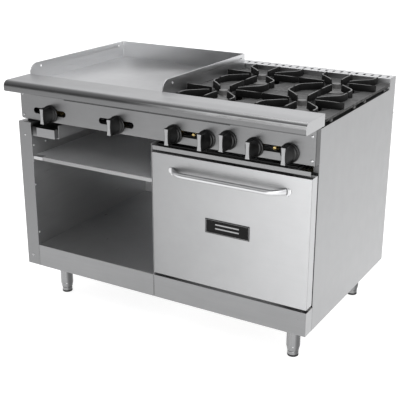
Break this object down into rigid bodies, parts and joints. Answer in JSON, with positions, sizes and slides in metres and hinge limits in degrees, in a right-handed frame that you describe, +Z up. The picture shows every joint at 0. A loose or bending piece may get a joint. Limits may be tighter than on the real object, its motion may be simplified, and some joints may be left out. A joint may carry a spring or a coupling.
{
  "type": "commercial gas range",
  "caption": "Free-standing stainless gas range with griddle, open burners with cast grates, drop-down oven door, open storage base and adjustable legs.",
  "frame": {"origin": "centre of the footprint at floor level, under the feet", "axes": "+X to the range's right as seen from the front, -Y towards the cook, +Z up"},
  "size_m": [1.2192, 0.859, 0.948],
  "materials": {
    "stainless": "brushed stainless sheet",
    "griddle_steel": "ground steel plate",
    "aluminised_steel": "dull aluminised steel",
    "blackened_steel": "dark heat-proof paint",
    "cast_iron": "rough cast, seasoned",
    "burner_iron": "bare grey casting",
    "brass": "machined",
    "mineral_wool": "loose fibre",
    "badge_black": "black enamel",
    "knob_black": "moulded, satin metal front on the grip"
  },
  "bodies": {
    "range_body": {"base_frame": "aluminised_steel", "left_side_panel": "stainless", "right_side_panel": "stainless", "back_panel": "aluminised_steel", "storage_kick_panel": "stainless", "oven_kick_panel": "stainless", "storage_liner": "stainless", "centre_divider": "stainless", "storage_shelf": "stainless", "storage_brackets": "stainless", "front_ledge": "stainless", "control_panel": "stainless", "panel_screws": "stainless", "flue_riser": "stainless", "griddle_plate": "griddle_steel", "griddle_splash": "stainless", "grease_trough": "aluminised_steel", "griddle_burners": "aluminised_steel", "burner_box_frame": "aluminised_steel", "burner_bases": "burner_iron", "gas_manifold": "blackened_steel", "gas_valves": "brass", "oven_gas_line": "aluminised_steel", "oven_thermostat": "blackened_steel", "oven_front_frame": "stainless", "oven_liner": "aluminised_steel", "oven_insulation": "mineral_wool", "oven_deck": "aluminised_steel", "oven_burner": "aluminised_steel", "rack_guides": "aluminised_steel", "oven_flue": "aluminised_steel", "door_hinges": "blackened_steel", "legs": "stainless"},
    "oven_door": {"door_outer_panel": "stainless", "door_inner_panel": "aluminised_steel", "door_insulation": "mineral_wool", "door_handle": "stainless", "badge_plate": "badge_black"},
    "griddle_knob_left": {"griddle_knob_left": "knob_black"},
    "griddle_knob_right": {"griddle_knob_right": "knob_black"},
    "burner_knob_front_left": {"burner_knob_front_left": "knob_black"},
    "burner_knob_rear_left": {"burner_knob_rear_left": "knob_black"},
    "oven_thermostat_knob": {"oven_thermostat_knob": "knob_black"},
    "burner_knob_front_right": {"burner_knob_front_right": "knob_black"},
    "burner_knob_rear_right": {"burner_knob_rear_right": "knob_black"},
    "grate_front_left": {"grate_front_left": "cast_iron"},
    "burner_head_front_left": {"burner_head_front_left": "burner_iron"},
    "grate_rear_left": {"grate_rear_left": "cast_iron"},
    "burner_head_rear_left": {"burner_head_rear_left": "burner_iron"},
    "grate_front_right": {"grate_front_right": "cast_iron"},
    "burner_head_front_right": {"burner_head_front_right": "burner_iron"},
    "grate_rear_right": {"grate_rear_right": "cast_iron"},
    "burner_head_rear_right": {"burner_head_rear_right": "burner_iron"},
    "foot_front_left": {"foot_front_left": "stainless"},
    "foot_front_right": {"foot_front_right": "stainless"},
    "foot_rear_left": {"foot_rear_left": "stainless"},
    "foot_rear_right": {"foot_rear_right": "stainless"},
    "crumb_tray": {"crumb_tray": "stainless"},
    "grease_drawer": {"grease_drawer": "aluminised_steel"},
    "oven_rack": {"oven_rack": "stainless"}
  },
  "joints": [
    {"name": "oven_door_hinge", "type": "hinge", "parent": "range_body", "child": "oven_door", "pos_m": [0.305, -0.3495, 0.262], "axis": [1, 0, 0], "range_deg": [0, 90]},
    {"name": "griddle_knob_left_turn", "type": "hinge", "parent": "range_body", "child": "griddle_knob_left", "pos_m": [-0.4665, -0.3535, 0.7825], "axis": [0, -1, 0], "range_deg": [0, 90]},
    {"name": "griddle_knob_right_turn", "type": "hinge", "parent": "range_body", "child": "griddle_knob_right", "pos_m": [-0.16, -0.3535, 0.7825], "axis": [0, -1, 0], "range_deg": [0, 90]},
    {"name": "burner_knob_front_left_turn", "type": "hinge", "parent": "range_body", "child": "burner_knob_front_left", "pos_m": [0.081, -0.3535, 0.7825], "axis": [0, -1, 0], "range_deg": [0, 90]},
    {"name": "burner_knob_rear_left_turn", "type": "hinge", "parent": "range_body", "child": "burner_knob_rear_left", "pos_m": [0.211, -0.3535, 0.7825], "axis": [0, -1, 0], "range_deg": [0, 90]},
    {"name": "oven_thermostat_knob_turn", "type": "hinge", "parent": "range_body", "child": "oven_thermostat_knob", "pos_m": [0.293, -0.3535, 0.792], "axis": [0, -1, 0], "range_deg": [0, 270]},
    {"name": "burner_knob_front_right_turn", "type": "hinge", "parent": "range_body", "child": "burner_knob_front_right", "pos_m": [0.392, -0.3535, 0.7825], "axis": [0, -1, 0], "range_deg": [0, 90]},
    {"name": "burner_knob_rear_right_turn", "type": "hinge", "parent": "range_body", "child": "burner_knob_rear_right", "pos_m": [0.519, -0.3535, 0.7825], "axis": [0, -1, 0], "range_deg": [0, 90]},
    {"name": "grate_front_left_lift", "type": "slide", "parent": "range_body", "child": "grate_front_left", "axis": [0, 0, 1], "range_m": [0, 0.15]},
    {"name": "burner_head_front_left_lift", "type": "slide", "parent": "range_body", "child": "burner_head_front_left", "axis": [0, 0, 1], "range_m": [0, 0.1]},
    {"name": "grate_rear_left_lift", "type": "slide", "parent": "range_body", "child": "grate_rear_left", "axis": [0, 0, 1], "range_m": [0, 0.15]},
    {"name": "burner_head_rear_left_lift", "type": "slide", "parent": "range_body", "child": "burner_head_rear_left", "axis": [0, 0, 1], "range_m": [0, 0.1]},
    {"name": "grate_front_right_lift", "type": "slide", "parent": "range_body", "child": "grate_front_right", "axis": [0, 0, 1], "range_m": [0, 0.15]},
    {"name": "burner_head_front_right_lift", "type": "slide", "parent": "range_body", "child": "burner_head_front_right", "axis": [0, 0, 1], "range_m": [0, 0.1]},
    {"name": "grate_rear_right_lift", "type": "slide", "parent": "range_body", "child": "grate_rear_right", "axis": [0, 0, 1], "range_m": [0, 0.15]},
    {"name": "burner_head_rear_right_lift", "type": "slide", "parent": "range_body", "child": "burner_head_rear_right", "axis": [0, 0, 1], "range_m": [0, 0.1]},
    {"name": "crumb_tray_slide", "type": "slide", "parent": "range_body", "child": "crumb_tray", "axis": [0, -1, 0], "range_m": [0, 0.4]},
    {"name": "grease_drawer_slide", "type": "slide", "parent": "range_body", "child": "grease_drawer", "axis": [0, -1, 0], "range_m": [0, 0.3]},
    {"name": "oven_rack_slide", "type": "slide", "parent": "range_body", "child": "oven_rack", "axis": [0, -1, 0], "range_m": [0, 0.07]},
    {"name": "foot_front_left_adjust", "type": "slide", "parent": "range_body", "child": "foot_front_left", "axis": [0, 0, -1], "range_m": [0, 0.025]},
    {"name": "foot_front_right_adjust", "type": "slide", "parent": "range_body", "child": "foot_front_right", "axis": [0, 0, -1], "range_m": [0, 0.025]},
    {"name": "foot_rear_left_adjust", "type": "slide", "parent": "range_body", "child": "foot_rear_left", "axis": [0, 0, -1], "range_m": [0, 0.025]},
    {"name": "foot_rear_right_adjust", "type": "slide", "parent": "range_body", "child": "foot_rear_right", "axis": [0, 0, -1], "range_m": [0, 0.025]}
  ]
}
